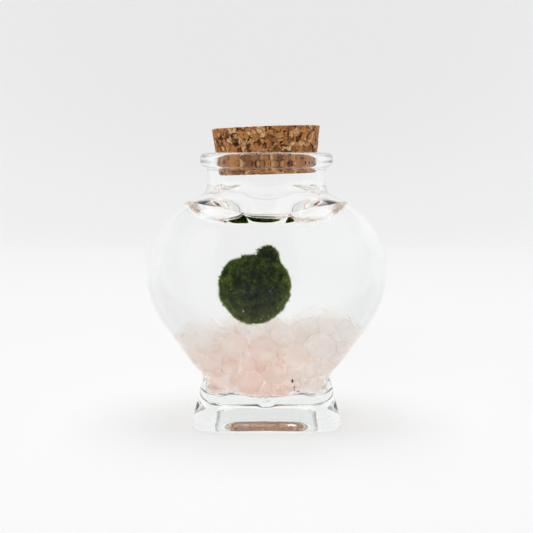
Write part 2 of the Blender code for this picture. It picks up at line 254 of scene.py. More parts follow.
class JarForm:
    """The jar's outside and its hollow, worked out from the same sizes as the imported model."""

    def __init__(self):
        self.heart = settings("heart")
        self.jar = settings("jar")

    def lobe(self, x, y, z, side):
        h = self.heart
        across = np.hypot(x - side * h.lobe_x, z - h.lobe_z) / h.lobe_radius
        power = h.lobe_roundness
        return ((across**power + np.abs(y / h.half_depth) ** power) ** (1 / power) - 1) * h.half_depth

    def half_width(self, z):
        """Half the heart's width: the point's arc, then the side's, then the lobe's."""
        h = self.heart
        reach = h.side_radius - h.lobe_radius
        side_x = h.lobe_x - reach * math.cos(h.side_lean)
        side_z = h.lobe_z + reach * math.sin(h.side_lean)
        lobe_starts = h.lobe_z - h.lobe_radius * math.sin(h.side_lean)
        low = arc(side_x, side_z, h.side_radius, z)
        side = np.where(z < lobe_starts, low, arc(h.lobe_x, h.lobe_z, h.lobe_radius, z))
        point = arc(0, h.point_z + h.point_radius, h.point_radius, z)
        near_point = z < h.point_z + h.point_radius / 2
        return np.maximum(np.where(near_point, np.minimum(side, point), side), LEAST_HALF_WIDTH)

    def half_depth(self, z, cleft_height):
        """Half the depth of the heart's middle, which falls away to the cleft and the point."""
        h = self.heart
        share = ((z - h.deepest_z) / (h.deepest_z - h.low_z)) ** 2
        low = h.half_depth - (h.half_depth - h.low_half_depth) * share
        fall = np.clip((h.low_z - z) / (h.low_z - h.point_z), 0, 1)
        low = low - (h.low_half_depth - h.point_half_depth) * fall**2
        drop = np.clip((z - h.deepest_z) / cleft_height, 0, 0.999)
        return np.where(z < h.deepest_z, low, h.half_depth * np.sqrt(1 - drop * drop))

    def middle(self, x, y, z, cleft_height):
        h = self.heart
        wide, deep, power = self.half_width(z), self.half_depth(z, cleft_height), h.roundness
        reach = (np.abs(x / wide) ** power + np.abs(y / deep) ** power) ** (1 / power)
        level = (reach - 1) * np.minimum(wide, deep)
        return np.maximum(level, np.maximum(h.point_z - z, z - h.cleft_top_z))

    def foot(self, x, y, z):
        j = self.jar
        corner_x = np.abs(x) - (j.foot_half_width - j.foot_taper_x * z - j.foot_corner)
        corner_y = np.abs(y) - (j.foot_half_depth - j.foot_taper_y * z - j.foot_corner)
        outside = np.hypot(np.maximum(corner_x, 0), np.maximum(corner_y, 0))
        return outside + np.minimum(np.maximum(corner_x, corner_y), 0) - j.foot_corner

    def body(self, x, y, z, cleft_height):
        lobes = smooth_union(self.lobe(x, y, z, 1), self.lobe(x, y, z, -1), self.heart.blend)
        return smooth_union(lobes, self.middle(x, y, z, cleft_height), self.heart.blend)

    def neck(self, x, y, z):
        return np.maximum(np.hypot(x, y) - self.jar.neck_radius, self.heart.lobe_z - z)

    def outside(self, x, y, z):
        body = self.body(x, y, z, self.heart.cleft_height)
        low = smooth_union(body, self.foot(x, y, z), self.jar.fillet)
        return smooth_union(low, self.neck(x, y, z), self.jar.neck_fillet)

    def hollow(self, x, y, z):
        j = self.jar
        body = self.body(x, y, z, self.heart.hollow_cleft_height) + j.body_wall
        low = smooth_union(body, self.foot(x, y, z) + j.foot_wall, j.fillet)
        return smooth_union(low, self.neck(x, y, z) + j.neck_wall, j.neck_fillet)

    def floor(self, x, share):
        """The floor's height: a dip under the heart's point, a ridge on each side, a turned-up rim."""
        j = self.jar
        flat = j.floor_z + j.floor_ridge * np.exp(-(((np.abs(x) - j.floor_ridge_x) / RIDGE_WIDTH) ** 2))
        return flat + (j.floor_rim - flat) * share**RIM_POWER

    def angles(self):
        """Angles round the axis, closer together at the narrow ends of the heart."""
        h = self.heart
        turn = np.arange(self.jar.turns) * 2 * math.pi / self.jar.turns
        return np.arctan2(h.half_depth * np.sin(turn), (h.lobe_x + h.lobe_radius) * np.cos(turn))


def reach_of(form, angles, heights, offset=0.0):
    """How far a form reaches from the axis, as [height, angle], by halving."""
    z = np.repeat(np.asarray(heights)[:, None], len(angles), axis=1)
    cos, sin = np.cos(angles)[None], np.sin(angles)[None]
    near, far = np.full(z.shape, LEAST_REACH), np.full(z.shape, MOST_REACH)
    for _ in range(HALVINGS):
        middle = (near + far) / 2
        inside = form(middle * cos, middle * sin, z) < offset
        near, far = np.where(inside, middle, near), np.where(inside, far, middle)
    return (near + far) / 2


def even_rows(radii, heights, rows):
    """(radii, heights) as [row, angle], at even steps along each upright line of a surface."""
    steps = np.hypot(np.diff(radii, axis=0), np.diff(heights, axis=0))
    along = np.vstack([np.zeros(radii.shape[1]), np.cumsum(steps, axis=0)])
    out_r, out_z = np.empty((rows, radii.shape[1])), np.empty((rows, radii.shape[1]))
    for i in range(radii.shape[1]):
        wanted = np.linspace(0, along[-1, i], rows)
        out_r[:, i] = np.interp(wanted, along[:, i], radii[:, i])
        out_z[:, i] = np.interp(wanted, along[:, i], heights[:, i])
    return out_r, out_z


def turned_arc(centre_r, centre_z, radius, start, end, steps):
    """(radii, heights) of an arc in a turned profile. Angles are degrees from outwards to up."""
    turn = np.radians(np.linspace(start, end, steps))
    return centre_r + radius * np.cos(turn), centre_z + radius * np.sin(turn)


# ---- Making meshes ----


def mesh_from(bm, name):
    """A new mesh from a bmesh, which is freed."""
    mesh = bpy.data.meshes.new(name)
    bm.to_mesh(mesh)
    bm.free()
    return mesh


def add_object(name, data):
    """A new object in the scene."""
    made = bpy.data.objects.new(name, data)
    bpy.context.scene.collection.objects.link(made)
    return made


def finish_piece(name, bm, material, node=None):
    """A smooth object from a bmesh. It rides on the root body, and may stand for a node."""
    return dress(name, mesh_from(bm, name), material, node)


def dress(name, mesh, material, node=None):
    """The same from a mesh."""
    mesh.shade_smooth()
    mesh.materials.clear()
    mesh.materials.append(material)
    piece = add_object(name, mesh)
    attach(piece, "root")
    if node:
        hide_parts(node)
    return piece


def wrapped_grid(points):
    """A closed skin through points [row, turn, xyz]: a grid bent round, its seam and ends merged."""
    rows, turns = points.shape[:2]
    bm = bmesh.new()
    bmesh.ops.create_grid(bm, x_segments=turns, y_segments=rows - 1, size=1)
    for vertex in bm.verts:
        column = round((vertex.co.x + 1) / 2 * turns) % turns
        row = round((vertex.co.y + 1) / 2 * (rows - 1))
        vertex.co = points[row, column]
    bmesh.ops.remove_doubles(bm, verts=bm.verts, dist=1e-6)
    bmesh.ops.recalc_face_normals(bm, faces=bm.faces)
    return bm


def profile_of(parts, turns):
    """(radii, heights) as [row, turn] of a turned shape, from the parts of its profile in order."""
    return [spread(np.concatenate([part[i] for part in parts]), turns) for i in (0, 1)]


def polar_points(radii, heights, angles):
    return np.stack([radii * np.cos(angles), radii * np.sin(angles), heights], axis=-1)


def spread(row, turns):
    return np.repeat(np.asarray(row)[:, None], turns, axis=1)


# ---- Materials ----

STIPPLE_TOP, STIPPLE_FULL = 0.0009, 0.0002  # heights of the stippling under the foot
CORNER_STARTS, CORNER_FULL = 0.0125, 0.0155  # and how far out it is
FROST = 0.25  # its roughness
GRANULE_WARP = 0.0014  # how far the cork's granules are pushed out of their even cells
NECK_BLEND, NECK_EVENNESS = 0.001, 0.08  # the cork is a little more even in the neck
LOW_GREY_STARTS, LOW_GREY_FULL = 0.0022, -0.0060  # heights over which the moss turns greyer low on the ball, from the ball's middle
PINK_SIDE, PALE_SIDE = 0.002, 0.012  # X where painted light starts to make the quartz paler, and where it is palest


def join(tree, value, socket):
    """Links an output to a socket, or sets the socket to a plain value."""
    if isinstance(value, bpy.types.NodeSocket):
        tree.links.new(value, socket)
    else:
        socket.default_value = value


def put(tree, kind, inputs=None, **values):
    """A new node with its values set and its inputs set or linked."""
    made = tree.nodes.new(kind)
    for name, value in values.items():
        setattr(made, name, value)
    for socket, value in (inputs or {}).items():
        join(tree, value, made.inputs[socket])
    return made


def new_material(name):
    """(material, its node tree, its Principled shader)"""
    material = bpy.data.materials.new(name)
    material.use_nodes = True
    return material, material.node_tree, material.node_tree.nodes["Principled BSDF"]


def set_shader(tree, shader, values):
    """Sets or links the shader's inputs, by name."""
    for socket, value in values.items():
        join(tree, value, shader.inputs[socket])


def rgba(value):
    return (*value, 1.0)


def grey(level):
    return (level, level, level, 1.0)


def object_place(tree):
    return put(tree, "ShaderNodeTexCoord").outputs["Object"]


def axis_of(tree, place, axis):
    return put(tree, "ShaderNodeSeparateXYZ", {"Vector": place}).outputs[axis]


def attribute(tree, name):
    return put(tree, "ShaderNodeAttribute", attribute_name=name).outputs["Fac"]


def worked(tree, operation, *values):
    """The result of a Math node."""
    return put(tree, "ShaderNodeMath", dict(enumerate(values)), operation=operation).outputs[0]


def ranged(tree, value, low, high, to_low=0.0, to_high=1.0, **values):
    """A value moved from one range to another, and held at its ends."""
    ends = {"Value": value, "From Min": low, "From Max": high, "To Min": to_low, "To Max": to_high}
    return put(tree, "ShaderNodeMapRange", ends, **values).outputs["Result"]


def bumped(tree, height, distance, strength=1.0):
    values = {"Strength": strength, "Distance": distance, "Height": height}
    return put(tree, "ShaderNodeBump", values).outputs["Normal"]


def absorb(tree, tint, density):
    volume = put(tree, "ShaderNodeVolumeAbsorption", {"Color": rgba(tint), "Density": density})
    tree.links.new(volume.outputs["Volume"], tree.nodes["Material Output"].inputs["Volume"])


def mix_colours(tree, factor, first, second, blend="MIX"):
    """The colour output of a Mix node, whose colour sockets are its inputs 6 and 7."""
    values = {0: factor, 6: first, 7: second}
    mixer = put(tree, "ShaderNodeMix", values, data_type="RGBA", blend_type=blend, clamp_factor=True)
    return mixer.outputs[2]


MOTTLE_INPUTS = {"Scale": 400.0, "Detail": 3.0, "Low": 0.4, "High": 0.6, "Twist": 0.0}


def mottle_group():
    """A shared group: cloudy patches, sharpened between Low and High, as a mask."""
    name = "Mottle"
    if name in bpy.data.node_groups:
        return bpy.data.node_groups[name]
    group = bpy.data.node_groups.new(name, "ShaderNodeTree")
    face = group.interface
    face.new_socket("Vector", in_out="INPUT", socket_type="NodeSocketVector")
    for label, value in MOTTLE_INPUTS.items():
        face.new_socket(label, in_out="INPUT", socket_type="NodeSocketFloat").default_value = value
    face.new_socket("Mask", in_out="OUTPUT", socket_type="NodeSocketFloat")
    source = put(group, "NodeGroupInput").outputs
    wanted = {label: source[label] for label in ("Vector", "Scale", "Detail")}
    clouds = put(group, "ShaderNodeTexNoise", {**wanted, "Distortion": source["Twist"]})
    mask = ranged(group, clouds.outputs["Fac"], source["Low"], source["High"], clamp=True)
    put(group, "NodeGroupOutput", {"Mask": mask})
    return group


def mottle(tree, vector, scale, low=0.4, high=0.6, detail=3.0, twist=0.0):
    """The mask of a Mottle group in a material."""
    values = {"Vector": vector, "Scale": scale, "Low": low, "High": high, "Detail": detail, "Twist": twist}
    return put(tree, "ShaderNodeGroup", values, node_tree=mottle_group()).outputs["Mask"]


def glass_material():
    """Clear soda glass, with faint ripples and stippled corners under the foot."""
    material, tree, shader = new_material("jar_glass")
    place = object_place(tree)
    ripple = mottle(tree, place, 160.0, low=0.2, high=0.8, detail=1.0)
    underside = ranged(tree, axis_of(tree, place, "Z"), STIPPLE_TOP, STIPPLE_FULL)
    side = worked(tree, "ABSOLUTE", axis_of(tree, place, "X"))
    outer = ranged(tree, side, CORNER_STARTS, CORNER_FULL)
    corners = worked(tree, "MULTIPLY", underside, outer)
    dots = mottle(tree, place, 1500.0, low=0.35, high=0.65, detail=2.0)
    stipple = worked(tree, "MULTIPLY", dots, corners)
    relief = worked(tree, "MULTIPLY_ADD", ripple, 0.06, stipple)
    values = {
        "Base Color": grey(1.0),
        "IOR": 1.5,
        "Specular Tint": grey(0.5),
        "Transmission Weight": 1.0,
        "Normal": bumped(tree, relief, 0.0006),
        "Roughness": worked(tree, "MULTIPLY", corners, FROST),
    }
    set_shader(tree, shader, values)
    absorb(tree, (0.80, 0.93, 0.88), 9.0)
    return material


def water_material():
    material, tree, shader = new_material("clear_water")
    values = {
        "Base Color": grey(1.0),
        "Roughness": 0.0,
        "IOR": 1.33,
        "Specular Tint": grey(0.04),
        "Transmission Weight": 1.0,
    }
    set_shader(tree, shader, values)
    absorb(tree, (0.90, 0.95, 0.93), 2.0)
    return material


def cork_material():
    """Pressed cork: granules of many tans, flecks of bark, and painted shade darkening the gaps between the
    granules.
    """
    c = settings("cork")
    material, tree, shader = new_material("pressed_cork")
    place = object_place(tree)
    wobble = put(tree, "ShaderNodeTexNoise", {"Vector": place, "Scale": 700.0, "Detail": 2.0})
    shift = {0: wobble.outputs["Color"], 1: (GRANULE_WARP,) * 3}
    shift = put(tree, "ShaderNodeVectorMath", shift, operation="MULTIPLY").outputs[0]
    warped = put(tree, "ShaderNodeVectorMath", {0: place, 1: shift}, operation="ADD").outputs[0]
    granules = {"Vector": warped, "Scale": 1 / c.granule, "Randomness": 1.0}
    cells = put(tree, "ShaderNodeTexVoronoi", granules)
    gaps = put(tree, "ShaderNodeTexVoronoi", granules, feature="DISTANCE_TO_EDGE")
    tone = put(tree, "ShaderNodeSeparateColor", {"Color": cells.outputs["Color"]})
    ramp = put(tree, "ShaderNodeValToRGB", {"Fac": tone.outputs["Red"]})
    stops = ramp.color_ramp.elements
    stops[0].position, stops[0].color = 0.05, rgba(c.dark)
    stops[1].position, stops[1].color = 0.96, rgba(c.pale)
    for position, share in ((0.22, 0.55), (0.75, 1.0)):
        stop = stops.new(position)
        stop.color = rgba([a * (1 - share) + b * share for a, b in zip(c.dark, c.light)])
    grain = mottle(tree, place, 2600.0, low=0.25, high=0.75, detail=4.0)
    grained = mix_colours(tree, grain, (0.62, 0.56, 0.50, 1), grey(1.12))
    toned = mix_colours(tree, 1.0, ramp.outputs["Color"], grained, "MULTIPLY")
    lip = settings("jar").lip_top
    in_neck = ranged(tree, axis_of(tree, place, "Z"), lip + NECK_BLEND, lip - NECK_BLEND)
    toned = mix_colours(tree, in_neck, toned, mix_colours(tree, NECK_EVENNESS, toned, rgba(c.light)))
    fleck = mottle(tree, place, 780.0, low=0.585, high=0.63, detail=4.0, twist=1.2)
    # Painted shade: the gaps between granules darken towards the bark colour, in broken patches.
    edge = ranged(tree, gaps.outputs["Distance"], 0.0, 0.08, 1.0, 0.0)
    cork_gap_shade = worked(tree, "MULTIPLY", edge, mottle(tree, place, 420.0, low=0.42, high=0.60))
    dark = worked(tree, "MAXIMUM", fleck, cork_gap_shade)
    rough = worked(tree, "MULTIPLY_ADD", grain, 0.4, worked(tree, "MULTIPLY", dark, -0.7))
    values = {
        "Base Color": mix_colours(tree, dark, toned, rgba(c.bark_and_gap_shade)),
        "Normal": bumped(tree, rough, 0.00022, 0.9),
        "Roughness": 0.82,
        "Specular IOR Level": 0.25,
    }
    set_shader(tree, shader, values)
    return material


FILAMENT_LOOK = {
    "Subsurface Weight": 0.85,
    "Subsurface Radius": (0.8, 1.0, 0.12),
    "Subsurface Scale": 0.0009,
    "Transmission Weight": 0.45,
    "IOR": 1.05,
    "Sheen Weight": 0.12,
    "Sheen Roughness": 0.35,
    "Sheen Tint": (0.62, 0.85, 0.10, 1.0),
}


def moss_material(name, stands):
    """Moss: painted shade deep in the hollows between the tufts, painted light on the raised tufts and their
    filaments' tips, less of it low on the ball, and greyer low down.

    stands is true for filaments, which their tip and tone attributes colour and which have a sheen.
    """
    m = settings("moss")
    material, tree, shader = new_material(name)
    place = object_place(tree)
    # Painted light and shade: raised tufts in light patches are green, and the hollows between them are
    # painted near-black shade.
    light_patches = mottle(tree, place, 560.0, low=0.42, high=0.62, detail=4.0, twist=0.5)
    lifted = worked(tree, "POWER", attribute(tree, "tuft"), 2.0)
    lit = worked(tree, "MULTIPLY", lifted, light_patches)
    full = worked(tree, "MULTIPLY_ADD", lit, 0.7, worked(tree, "MULTIPLY", lifted, 0.3))
    shown = mix_colours(tree, full, rgba(m.shade), rgba(m.green))
    middle = (BALL_LOW.z + BALL_HIGH.z) / 2
    height = axis_of(tree, place, "Z")
    low = ranged(tree, height, middle + LOW_GREY_STARTS, middle + LOW_GREY_FULL, 0.0, 0.85)
    # Painted light: tips of filaments on the lit tufts are bright, less so low on the ball.
    if stands:
        few = worked(tree, "POWER", attribute(tree, "tone"), 2.0)
        along = worked(tree, "MULTIPLY_ADD", attribute(tree, "tip"), 0.8, 0.2)
        bright = worked(tree, "MULTIPLY", along, few)
        for share in (lit, worked(tree, "MULTIPLY_ADD", low, -0.65, 1.0)):
            bright = worked(tree, "MULTIPLY", bright, share)
        shown = mix_colours(tree, bright, shown, rgba(m.tip))
        set_shader(tree, shader, FILAMENT_LOOK)
    # The ball turns greyer low down.
    shown = mix_colours(tree, worked(tree, "MULTIPLY", low, full), shown, rgba(m.low_grey))
    set_shader(tree, shader, {"Base Color": shown, "Roughness": 0.9, "Specular IOR Level": 0.15})
    return material


def quartz_material(number_in_bed):
    """Tumbled rose quartz: milky and pink in clouds, with painted light making the stones palest at the top
    and right of the bed.
    """
    p = settings("pebbles")
    material, tree, shader = new_material(f"rose_quartz_{number_in_bed:02d}")
    place = object_place(tree)
    chance = 0.5 + 0.5 * math.sin(number_in_bed * 2.4)
    # Painted light: the stones are paler high in the bed and towards its right.
    depth = ranged(tree, axis_of(tree, place, "Z"), p.pink_low, p.pale_top, 1.0, 0.1)
    right = ranged(tree, axis_of(tree, place, "X"), PINK_SIDE, PALE_SIDE, 1.0, 0.45)
    cloud = mottle(tree, place, 210.0, low=0.30, high=0.75, detail=3.0, twist=0.8)
    cloudy = worked(tree, "MULTIPLY_ADD", cloud, -0.5, 0.75 + 0.25 * chance)
    pink = worked(tree, "MULTIPLY", worked(tree, "MULTIPLY", depth, right), cloudy)
    frost = mottle(tree, place, 900.0, low=0.3, high=0.8, detail=2.0)
    values = {
        "Base Color": mix_colours(tree, pink, rgba(p.milk), rgba(p.rose)),
        "Normal": bumped(tree, frost, 0.0001, 0.25),
        "Roughness": 0.55,
        "IOR": 1.015,
        "Transmission Weight": 0.97,
        "Subsurface Weight": 1.0,
        "Subsurface Radius": (1.0, 0.62, 0.52),
        "Subsurface Scale": 0.005,
    }
    set_shader(tree, shader, values)
    return material


# ---- The jar ----

WALL_TOP, HOLLOW_TOP, BORE_TOP = 0.0690, 0.0700, 0.0705  # ends of the outside, the hollow and the lip
EDGE_ROWS, WALL_ROWS, UNDERSIDE_ROWS, FLOOR_ROWS = 30, 190, 36, 44
PANEL_REACH, PANEL_SLOPE = 0.74, 0.26  # of the underside's sunk panel, in shares of the foot
LIP_CREASE, MOUTH_EDGE = 0.0007, 0.0009  # radii under the lip and at the mouth


def outside_rows(form):
    """The underside's sunk panel, the foot's edge, the heart and the neck, up to the lip."""
    j, angles = form.jar, form.angles()
    edge_heights = np.linspace(0, j.foot_edge, EDGE_ROWS)[:-1]
    heights = np.concatenate([edge_heights, np.arange(j.foot_edge, WALL_TOP, STEP)])
    radii = reach_of(form.outside, angles, heights)
    edge = np.clip(1 - heights / j.foot_edge, 0, 1)
    radii = radii - (j.foot_edge * (1 - np.sqrt(1 - edge**2)))[:, None]
    wall = even_rows(radii, spread(heights, len(angles)), WALL_ROWS)
    share = np.linspace(0.0, 1.0, UNDERSIDE_ROWS)[:-1]
    rise = np.clip((PANEL_REACH - share) / PANEL_SLOPE, 0, 1)
    under = (share[:, None] * wall[0][0][None], spread(j.punt * rise * rise * (3 - 2 * rise), len(angles)))
    return under, wall


def lip_rows(form):
    """The neck's top, the rolled lip and the mouth, down into the bore."""
    j = form.jar
    bore, low, edge = j.neck_radius - j.neck_wall, j.lip_top - j.lip_height, j.lip_edge
    mouth = bore + j.mouth_flare
    parts = [
        turned_arc(j.neck_radius + LIP_CREASE, low - LIP_CREASE, LIP_CREASE, 180, 90, 7),
        turned_arc(j.lip_radius - edge, low + edge, edge, -90, 0, 12),
        turned_arc(j.lip_radius - edge, j.lip_top - edge, edge, 0, 90, 12),
        turned_arc(mouth + MOUTH_EDGE, j.lip_top - MOUTH_EDGE, MOUTH_EDGE, 90, 180, 10),
        (np.linspace(mouth, bore, 6)[1:], np.linspace(j.lip_top - MOUTH_EDGE, BORE_TOP, 6)[1:]),
    ]
    return profile_of(parts, len(form.angles()))


def hollow_wall(form):
    """The hollow's wall from the bore down to the floor's rim."""
    heights = np.arange(form.jar.floor_rim, HOLLOW_TOP, STEP)[::-1]
    radii = reach_of(form.hollow, form.angles(), heights)
    return even_rows(radii, spread(heights, radii.shape[1]), WALL_ROWS)


def hollow_floor(form, sink=0.0):
    """The hollow's floor from its rim in to its middle. The water's own floor is sunk a little."""
    angles = form.angles()
    rim = reach_of(form.hollow, angles, [form.jar.floor_rim], sink)
    share = np.sin(np.linspace(math.pi / 2, 0, FLOOR_ROWS))[1:, None]
    radii = share * rim
    return radii, form.floor(radii * np.cos(angles)[None], share) - sink


def joined_points(parts, angles):
    radii, heights = (np.vstack([part[i] for part in parts]) for i in (0, 1))
    return polar_points(radii, heights, angles)


class MOSSJAR_OT_glass(bpy.types.Operator):
    """Builds the blown glass jar"""

    bl_idname = "mossjar.glass"
    bl_label = "Glass Jar"

    def execute(self, context):
        form = JarForm()
        under, wall = outside_rows(form)
        parts = [under, wall, lip_rows(form), hollow_wall(form), hollow_floor(form)]
        bm = wrapped_grid(joined_points(parts, form.angles()))
        finish_piece("glass_jar", bm, glass_material(), "jar")
        return {"FINISHED"}


# ---- The water ----

BELOW_LIP = 0.008  # how far under the lip the search for the water's edge ends
CLIMB_LEAST, CLIMB_MOST = 0.3, 2.2  # radians that the water's edge may turn up by
CURVE_ROWS, MIDDLE_ROWS, SIDE_ROWS = 60, 12, 170


def meniscus(form, sink):
    """(radii, heights) of the water's top as [row, angle], from the glass in to the middle."""
    w, angles = settings("water"), form.angles()
    heights = np.arange(w.level, form.jar.lip_top - BELOW_LIP, STEP)
    radii = reach_of(form.hollow, angles, heights, sink)
    slope = np.arctan2(np.gradient(heights)[:, None], -np.gradient(radii, axis=0) + 1e-9)
    climb = np.clip(math.pi - slope - w.contact, CLIMB_LEAST, CLIMB_MOST)
    wanted = w.level + 2 * w.capillary * np.sin(climb / 2)
    contact = np.argmax(heights[:, None] >= wanted, axis=0)
    index = np.arange(len(angles))
    touch_r, touch_z, touch = radii[contact, index], heights[contact], climb[contact, index]
    side = np.abs(touch_r * np.cos(angles))
    peak = w.cusp * np.exp(-np.abs(side - w.cusp_x) / w.cusp_width) + w.bay * (side < w.cusp_x)
    share = np.linspace(1, 0.02, CURVE_ROWS)[:, None]
    lean = touch[None] * share**1.5
    away = w.capillary * (np.log(1 / np.tan(lean / 4)) - 2 * np.cos(lean / 2))
    rise = 2 * w.capillary * np.sin(lean / 2)
    rise = rise * (touch_z - w.level)[None] / rise[0][None]
    top_r = np.maximum(touch_r[None] - (away - away[0][None]), 0.0)
    top_z = w.level + rise + peak[None] * share * (1 - share) * 3
    inward = np.linspace(1, 0, MIDDLE_ROWS)[1:, None]
    middle = inward * top_r[-1][None], w.level + (top_z[-1] - w.level)[None] * inward
    return (np.vstack([top_r, middle[0]]), np.vstack([top_z, middle[1]])), touch_z


def water_wall(form, touch_z, sink):
    """The water's side from the floor up to where it touches the glass."""
    heights = np.arange(form.jar.floor_rim, touch_z.max() + 2 * STEP, STEP)
    radii = reach_of(form.hollow, form.angles(), heights, sink)
    columns = []
    for i, top in enumerate(touch_z):
        below = heights < top
        columns.append(even_rows(radii[below, i : i + 1], heights[below][:, None], SIDE_ROWS))
    return [np.hstack([column[i] for column in columns]) for i in (0, 1)]


class MOSSJAR_OT_water(bpy.types.Operator):
    """Fills the jar with water that climbs a little up the glass"""

    bl_idname = "mossjar.water"
    bl_label = "Water"

    def execute(self, context):
        form, sink = JarForm(), settings("water").sink
        top, touch_z = meniscus(form, sink)
        floor = [rows[::-1] for rows in hollow_floor(form, sink)]
        bm = wrapped_grid(joined_points([floor, water_wall(form, touch_z, sink), top], form.angles()))
        finish_piece("water_fill", bm, water_material(), "water")
        return {"FINISHED"}


# ---- The stopper ----

CORK_TURNS, CORK_EDGE = 200, 0.00035
GAP_WIDTH = 0.16  # of the gaps between granules, in granules
TORN_SCALE, TORN_FROM, TORN_SLOPE, TORN_DEPTH = 520.0, 0.42, 2.2, 0.00045
WAVE_SCALE, WAVE_HEIGHT = 240.0, 0.00010


class MOSSJAR_OT_cork(bpy.types.Operator):
    """Builds the tapered cork stopper"""

    bl_idname = "mossjar.cork"
    bl_label = "Cork"

    def execute(self, context):
        c = settings("cork")
        half, edge = c.height / 2, CORK_EDGE
        parts = [
            (np.linspace(0, c.bottom_radius - edge, 34), np.full(34, -half)),
            turned_arc(c.bottom_radius - edge, -half + edge, edge, -90, 0, 5),
            (np.linspace(c.bottom_radius, c.top_radius, 52)[1:-1], np.linspace(-half, half, 52)[1:-1]),
            turned_arc(c.top_radius - edge, half - edge, edge, 0, 90, 5),
            (np.linspace(c.top_radius - edge, 0, 40)[1:], np.full(39, half)),
        ]
        angles = np.arange(CORK_TURNS) * 2 * math.pi / CORK_TURNS
        bm = wrapped_grid(polar_points(*profile_of(parts, CORK_TURNS), angles))
        bm.normal_update()
        moves = [(v, v.normal * self.relief(v.co, c)) for v in bm.verts]
        for vertex, move in moves:
            vertex.co += move
        turn = Matrix.Translation((0, 0, c.centre_z)) @ Matrix.Rotation(-c.tilt, 4, "Y")
        bmesh.ops.transform(bm, matrix=turn, verts=bm.verts)
        finish_piece("cork_stopper", bm, cork_material(), "cork")
        return {"FINISHED"}

    def relief(self, place, c):
        """Granules stand out, and the gaps between them and some torn pits sink in."""
        distances, _ = noise.voronoi(place / c.granule)
        gap = max(0.0, GAP_WIDTH - (distances[1] - distances[0])) / GAP_WIDTH
        torn = max(0.0, noise.noise(place * TORN_SCALE) - TORN_FROM) * TORN_SLOPE
        wave = noise.noise(place * WAVE_SCALE) * WAVE_HEIGHT
        return wave - gap * c.pit_depth - torn * TORN_DEPTH


# ---- The moss ball ----

# The lobes that stand out of the round ball, in ball radii: centre and radius.
MOSS_LOBES = (
    ((0.39, -0.10, 0.90), 0.27),
    ((0.26, -0.10, 0.97), 0.14),
    ((0.45, 0.02, 0.66), 0.30),
    ((0.30, 0.30, 0.62), 0.30),
    ((-0.62, -0.15, 0.38), 0.30),
    ((-0.27, -0.05, 0.84), 0.06),
)
# The hollow crown, the slot beside the tuft, a dent to its left and the pit under the tuft, which run
# from front to back: each one's direction, half width in radians and depth in ball radii.
MOSS_HOLLOWS = (
    ((-0.17, -0.05, 0.98), 0.47, 0.115),
    ((0.11, -0.05, 0.99), 0.09, 0.050),
    ((-0.53, -0.05, 0.85), 0.13, 0.050),
    ((0.24, -0.55, 0.42), 0.22, 0.090),
)
HOLLOW_STRETCH = 0.4  # of Y, which draws a hollow out from front to back
CLUMP_STRETCH = 0.45  # of Z, which draws the clumps out up and down
CORE_DROP, TUFT_HEIGHT, LUMP_HEIGHT = 0.105, 0.095, 0.012  # in ball radii
SHORTEST, LONGEST = 0.45, 1.35  # of filaments set by chance, as shares of the usual length
BARE_SHARE, TUFT_SHARE = 0.45, 0.75  # of that length off the tufts, and added on them
# The sockets of a Random Value node, by kind: its least, its greatest and its output.
RANDOM_SOCKETS = {"FLOAT_VECTOR": (0, 1, 0), "FLOAT": (2, 3, 1)}


def ball_centre():
    """The middle of the ball's round lower part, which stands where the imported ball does."""
    middle = (BALL_LOW + BALL_HIGH) / 2
    return Vector((middle.x, middle.y, BALL_LOW.z + settings("moss").radius))


def ridged(place, scale, seed):
    """Noise that is 1 along sharp ridges and falls towards 0 between them."""
    return 1 - 2 * abs(noise.noise(place * scale + Vector((seed, 0, 0))))


def moss_reach(direction):
    """(reach, tuft): the core's radius in ball radii, and how much it stands out there, 0 to 1."""
    reach, flat = 1.0, Vector((1, HOLLOW_STRETCH, 1))
    for pit, width, depth in MOSS_HOLLOWS:
        away = (direction * flat).angle(Vector(pit) * flat) / width
        reach -= depth * math.exp(-(away**4))
    for lobe, radius in MOSS_LOBES:
        centre = Vector(lobe)
        along = direction.dot(centre)
        inside = along * along - centre.length_squared + radius * radius
        if inside > 0:
            reach = max(reach, along + math.sqrt(inside))
    strands = Vector((direction.x, direction.y, direction.z * CLUMP_STRETCH))
    clumps = 0.5 * ridged(direction, 3.4, 5) + 0.5 * ridged(strands, 7.5, 11)
    fine = ridged(strands, 19.0, 3)
    tuft = min(max(0.15 + 0.62 * clumps + 0.30 * fine, 0.0), 1.0)
    lumps = noise.noise(direction * 2.6) * LUMP_HEIGHT
    return reach - CORE_DROP + lumps + TUFT_HEIGHT * tuft, tuft


def filament_mesh(width, bend):
    """One bent filament of unit length along +Z. Its tip attribute runs from 0 at the root to 1."""
    bm = bmesh.new()
    bmesh.ops.create_circle(bm, cap_ends=True, segments=3, radius=width / 2)
    tip = bm.verts.layers.float.new("tip")
    loop = list(bm.edges)
    for height, lean in ((0.5, 0.3 * bend), (1.0, bend)):
        grown = bmesh.ops.extrude_edge_only(bm, edges=loop)["geom"]
        fresh = [item for item in grown if isinstance(item, bmesh.types.BMVert)]
        loop = [item for item in grown if isinstance(item, bmesh.types.BMEdge)]
        loop = [edge for edge in loop if edge.verts[0] in fresh and edge.verts[1] in fresh]
        for vertex in fresh:
            vertex.co = Vector((vertex.co.x + lean, vertex.co.y, height))
            vertex[tip] = height
    bmesh.ops.pointmerge(bm, verts=fresh, merge_co=Vector((bend, 0, 1.0)))
    bmesh.ops.recalc_face_normals(bm, faces=bm.faces)
    return mesh_from(bm, "filament")


def random_value(tree, kind, least, greatest, seed):
    low, high, out = RANDOM_SOCKETS[kind]
    values = {low: least, high: greatest, "Seed": seed}
    return put(tree, "FunctionNodeRandomValue", values, data_type=kind).outputs[out]


